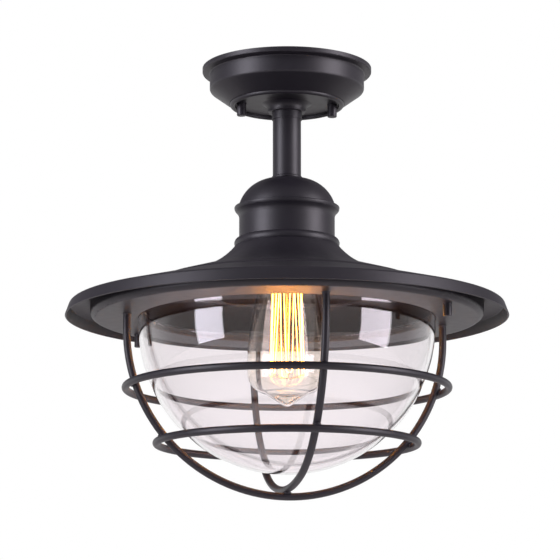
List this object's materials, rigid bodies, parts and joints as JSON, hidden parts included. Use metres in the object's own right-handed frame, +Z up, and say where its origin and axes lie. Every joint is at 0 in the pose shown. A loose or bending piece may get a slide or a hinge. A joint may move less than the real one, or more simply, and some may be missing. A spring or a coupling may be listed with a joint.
{
  "type": "caged ceiling lantern",
  "caption": "Semi-flush outdoor ceiling lantern: round canopy, short stem, wide spun shade, clear glass bowl in a wire cage and one filament lamp; the cage comes down to change it.",
  "frame": {"origin": "middle of the ceiling plane, between the two ceiling box slots", "axes": "+Z up into the ceiling, X through the two canopy nuts, Y along the ceiling strap"},
  "size_m": [0.3556, 0.3556, 0.353],
  "materials": {
    "black_powder_coat": "satin black powder coat",
    "zinc_plated_steel": "bright zinc plate",
    "green_screw": "green dyed zinc",
    "porcelain": "white glaze",
    "brass": "stamped brass",
    "black_lead": "black insulation",
    "white_lead": "white insulation",
    "connector_plastic": "moulded nylon",
    "gasket_rubber": "black rubber",
    "clear_glass": "clear blown glass",
    "lamp_glass": "clear lamp glass",
    "lamp_base_metal": "rolled brass shell",
    "lamp_solder": "tin solder",
    "lamp_insulator": "black vitreous insulator",
    "filament": "glowing filament",
    "support_wire": "drawn wire"
  },
  "bodies": {
    "fixture": {"box_strap": "zinc_plated_steel", "stud_bar": "zinc_plated_steel", "bar_rivet": "zinc_plated_steel", "canopy_studs": "zinc_plated_steel", "stud_locknuts": "zinc_plated_steel", "ground_screw": "green_screw", "canopy": "black_powder_coat", "canopy_collar": "black_powder_coat", "stem_tube": "black_powder_coat", "stem_ring": "black_powder_coat", "dome_cap": "black_powder_coat", "shade": "black_powder_coat", "lamp_pipe": "zinc_plated_steel", "pipe_top_washer": "zinc_plated_steel", "pipe_top_nut": "zinc_plated_steel", "pipe_bottom_washer": "zinc_plated_steel", "pipe_bottom_nut": "zinc_plated_steel", "socket_cap": "zinc_plated_steel", "socket_body": "porcelain", "socket_shell": "brass", "socket_contact": "brass", "terminal_screws": "brass", "line_lead": "black_lead", "neutral_lead": "white_lead", "wire_connectors": "connector_plastic", "shade_studs": "zinc_plated_steel"},
    "cage": {"cage_pan": "black_powder_coat", "glass_gasket": "gasket_rubber", "glass_bowl": "clear_glass", "cage_hoop_side": "black_powder_coat", "cage_hoop_front": "black_powder_coat", "cage_ring_upper": "black_powder_coat", "cage_ring_lower": "black_powder_coat"},
    "bulb_contact_end": {"bulb_contact": "lamp_solder"},
    "bulb": {"bulb_base": "lamp_base_metal", "bulb_insulator": "lamp_insulator", "bulb_glass": "lamp_glass", "bulb_mount": "lamp_glass", "bulb_filament": "filament", "filament_supports": "support_wire"},
    "left_canopy_washer": {"canopy_washer_left": "black_powder_coat"},
    "left_canopy_nut": {"canopy_nut_left": "black_powder_coat"},
    "right_canopy_washer": {"canopy_washer_right": "black_powder_coat"},
    "right_canopy_nut": {"canopy_nut_right": "black_powder_coat"},
    "left_cage_washer": {"cage_washer_left": "black_powder_coat"},
    "left_cage_nut": {"cage_nut_left": "black_powder_coat"},
    "right_cage_washer": {"cage_washer_right": "black_powder_coat"},
    "right_cage_nut": {"cage_nut_right": "black_powder_coat"}
  },
  "joints": [
    {"name": "cage_drop", "type": "slide", "parent": "fixture", "child": "cage", "axis": [0, 0, -1], "range_m": [0, 0.12]},
    {"name": "bulb_travel", "type": "slide", "parent": "fixture", "child": "bulb_contact_end", "axis": [0, 0, -1], "range_m": [0, 0.01815]},
    {"name": "bulb_turn", "type": "hinge", "parent": "bulb_contact_end", "child": "bulb", "pos_m": [0, 0, -0.14], "axis": [0, 0, -1], "range_deg": [0, 1800]},
    {"name": "canopy_nut_left_travel", "type": "slide", "parent": "fixture", "child": "left_canopy_washer", "axis": [0, 0, -1], "range_m": [0, 0.0084]},
    {"name": "canopy_nut_left_turn", "type": "hinge", "parent": "left_canopy_washer", "child": "left_canopy_nut", "pos_m": [-0.037, 0, -0.0303], "axis": [0, 0, -1], "range_deg": [0, 4320]},
    {"name": "canopy_nut_right_travel", "type": "slide", "parent": "fixture", "child": "right_canopy_washer", "axis": [0, 0, -1], "range_m": [0, 0.0084]},
    {"name": "canopy_nut_right_turn", "type": "hinge", "parent": "right_canopy_washer", "child": "right_canopy_nut", "pos_m": [0.037, 0, -0.0303], "axis": [0, 0, -1], "range_deg": [0, 4320]},
    {"name": "cage_nut_left_travel", "type": "slide", "parent": "cage", "child": "left_cage_washer", "axis": [0, 0, -1], "range_m": [0, 0.0084]},
    {"name": "cage_nut_left_turn", "type": "hinge", "parent": "left_cage_washer", "child": "left_cage_nut", "pos_m": [-0.11856, 0.0852, -0.2085], "axis": [0, 0, -1], "range_deg": [0, 4320]},
    {"name": "cage_nut_right_travel", "type": "slide", "parent": "cage", "child": "right_cage_washer", "axis": [0, 0, -1], "range_m": [0, 0.0084]},
    {"name": "cage_nut_right_turn", "type": "hinge", "parent": "right_cage_washer", "child": "right_cage_nut", "pos_m": [0.11856, -0.0852, -0.2085], "axis": [0, 0, -1], "range_deg": [0, 4320]}
  ],
  "couplings": [
    {"joint": "bulb_turn", "follows": "bulb_travel", "rad_per_m": 1730.9},
    {"joint": "canopy_nut_left_turn", "follows": "canopy_nut_left_travel", "rad_per_m": 8976},
    {"joint": "canopy_nut_right_turn", "follows": "canopy_nut_right_travel", "rad_per_m": 8976},
    {"joint": "cage_nut_left_turn", "follows": "cage_nut_left_travel", "rad_per_m": 8976},
    {"joint": "cage_nut_right_turn", "follows": "cage_nut_right_travel", "rad_per_m": 8976}
  ]
}
